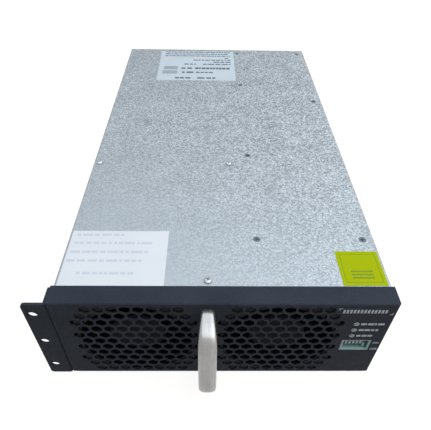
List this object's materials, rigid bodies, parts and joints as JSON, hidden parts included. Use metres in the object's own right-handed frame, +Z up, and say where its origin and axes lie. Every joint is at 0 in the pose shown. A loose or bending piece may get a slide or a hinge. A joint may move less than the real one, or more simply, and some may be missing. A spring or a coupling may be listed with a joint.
{
  "type": "dc-dc converter module",
  "caption": "Plug-in power converter in a flat sheet-metal casing: black honeycomb front panel with fans behind it, bow handle, switch block, indicators and a rack ear.",
  "frame": {"origin": "middle of the flat underside of the casing", "axes": "+X along the front panel to the right, +Y from the front panel to the rear, +Z up"},
  "size_m": [0.243, 0.4325, 0.0891],
  "materials": {
    "black_powder": "fine matt powder coat",
    "galvanised": "galvanised with a fine spangle",
    "satin_aluminium": "satin",
    "heatsink_aluminium": "extruded",
    "zinc_screw": "zinc plated",
    "dark_screw": "black oxide",
    "white_label": "satin film",
    "yellow_label": "satin film",
    "fan_plastic": "moulded",
    "motor_core": "wound core",
    "circuit_board": "solder mask",
    "brass_post": "nickel plated",
    "clear_lens": "clear",
    "switch_plastic": "moulded",
    "slider_plastic": "moulded",
    "epoxy": "moulded",
    "capacitor_can": "sleeved",
    "film_box": "moulded",
    "ferrite": "sintered",
    "copper": "enamelled",
    "fuse_body": "glazed"
  },
  "bodies": {
    "chassis": {"base_tray": "galvanised", "board_screws": "zinc_screw", "board_standoffs": "brass_post", "bulk_capacitors": "capacitor_can", "bus_bars": "copper", "control_board": "circuit_board", "control_header": "epoxy", "cover_screws": "dark_screw", "cover_stiffener": "galvanised", "fan_divider": "galvanised", "fan_frame_left": "fan_plastic", "fan_frame_right": "fan_plastic", "fan_nuts": "zinc_screw", "fan_stator_left": "motor_core", "fan_stator_right": "motor_core", "fan_studs": "zinc_screw", "film_capacitors": "film_box", "front_panel": "black_powder", "handle_screws": "zinc_screw", "heatsink_inner": "heatsink_aluminium", "heatsink_outer": "heatsink_aluminium", "indicator_board": "circuit_board", "indicator_lens_1": "clear_lens", "indicator_lens_2": "clear_lens", "indicator_lens_3": "clear_lens", "indicator_posts": "brass_post", "input_choke_core": "ferrite", "input_choke_winding": "copper", "input_fuse": "fuse_body", "main_board": "circuit_board", "output_choke_core": "ferrite", "output_choke_winding": "copper", "pan_screws": "zinc_screw", "panel_nuts": "zinc_screw", "panel_screws": "dark_screw", "plain_label": "white_label", "power_contacts": "copper", "power_transistors": "epoxy", "pull_handle": "satin_aluminium", "rack_ear": "black_powder", "rating_label": "white_label", "rear_connector": "epoxy", "rear_panel": "galvanised", "side_screws": "zinc_screw", "signal_pins": "copper", "switch_base": "switch_plastic", "switch_cover": "switch_plastic", "top_cover": "galvanised", "transformer_core": "ferrite", "transformer_winding": "copper", "yellow_label": "yellow_label"},
    "fan_left": {"fan_rotor_left": "fan_plastic"},
    "fan_right": {"fan_rotor_right": "fan_plastic"},
    "slider_1": {"switch_slider_1": "slider_plastic"},
    "slider_2": {"switch_slider_2": "slider_plastic"},
    "slider_3": {"switch_slider_3": "slider_plastic"},
    "slider_4": {"switch_slider_4": "slider_plastic"},
    "slider_5": {"switch_slider_5": "slider_plastic"},
    "slider_6": {"switch_slider_6": "slider_plastic"}
  },
  "joints": [
    {"name": "fan_left_spin", "type": "hinge", "parent": "chassis", "child": "fan_left", "pos_m": [-0.0592, -0.193, 0.0447], "axis": [0, 1, 0], "continuous": true},
    {"name": "fan_right_spin", "type": "hinge", "parent": "chassis", "child": "fan_right", "pos_m": [0.0384, -0.193, 0.0447], "axis": [0, 1, 0], "continuous": true},
    {"name": "switch_1_slide", "type": "slide", "parent": "chassis", "child": "slider_1", "axis": [0, 0, 1], "range_m": [-0.003, 0]},
    {"name": "switch_2_slide", "type": "slide", "parent": "chassis", "child": "slider_2", "axis": [0, 0, 1], "range_m": [-0.003, 0]},
    {"name": "switch_3_slide", "type": "slide", "parent": "chassis", "child": "slider_3", "axis": [0, 0, 1], "range_m": [-0.003, 0]},
    {"name": "switch_4_slide", "type": "slide", "parent": "chassis", "child": "slider_4", "axis": [0, 0, 1], "range_m": [-0.003, 0]},
    {"name": "switch_5_slide", "type": "slide", "parent": "chassis", "child": "slider_5", "axis": [0, 0, 1], "range_m": [-0.003, 0]},
    {"name": "switch_6_slide", "type": "slide", "parent": "chassis", "child": "slider_6", "axis": [0, 0, 1], "range_m": [0, 0.003]}
  ]
}
